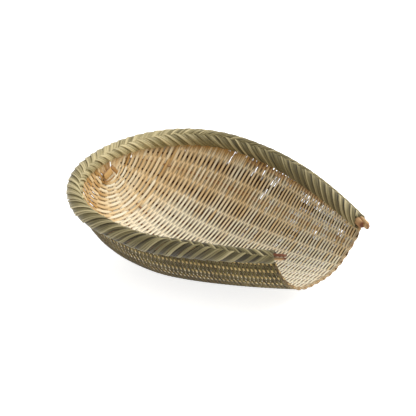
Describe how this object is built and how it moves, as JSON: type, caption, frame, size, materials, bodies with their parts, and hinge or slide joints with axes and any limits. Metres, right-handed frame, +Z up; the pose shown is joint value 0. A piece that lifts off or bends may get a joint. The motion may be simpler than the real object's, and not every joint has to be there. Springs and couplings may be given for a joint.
{
  "type": "woven bamboo storage basket",
  "caption": "Shallow scoop-shaped storage basket woven from split bamboo, with a horseshoe rim bound in a herringbone and a low open front.",
  "frame": {"origin": "on the table under the middle of the basket's box", "axes": "+Z up, +Y from the open front to the closed back, +X to the right when looking in from the front"},
  "size_m": [0.2699, 0.2968, 0.1099],
  "materials": {
    "stake_splint": "split bamboo, bare, satin",
    "weft_splint": "shaved bamboo, bare, satin",
    "core_cane": "cut bamboo, bare, matt",
    "rim_strip": "green bamboo skin, waxy"
  },
  "bodies": {
    "root": {"stake_left_8": "stake_splint", "stake_left_7": "stake_splint", "stake_left_6": "stake_splint", "stake_left_5": "stake_splint", "stake_left_4": "stake_splint", "stake_left_3": "stake_splint", "stake_left_2": "stake_splint", "stake_left_1": "stake_splint", "stake_centre": "stake_splint", "stake_right_1": "stake_splint", "stake_right_2": "stake_splint", "stake_right_3": "stake_splint", "stake_right_4": "stake_splint", "stake_right_5": "stake_splint", "stake_right_6": "stake_splint", "stake_right_7": "stake_splint", "stake_right_8": "stake_splint", "weft_strand_01": "weft_splint", "weft_strand_02": "weft_splint", "weft_strand_03": "weft_splint", "weft_strand_04": "weft_splint", "weft_strand_05": "weft_splint", "weft_strand_06": "weft_splint", "weft_strand_07": "weft_splint", "weft_strand_08": "weft_splint", "weft_strand_09": "weft_splint", "weft_strand_10": "weft_splint", "weft_strand_11": "weft_splint", "rim_outer_cane": "core_cane", "rim_inner_cane": "core_cane", "rim_binding": "rim_strip", "lip_twine_a": "weft_splint", "lip_twine_b": "weft_splint", "back_tie": "stake_splint"}
  },
  "joints": []
}
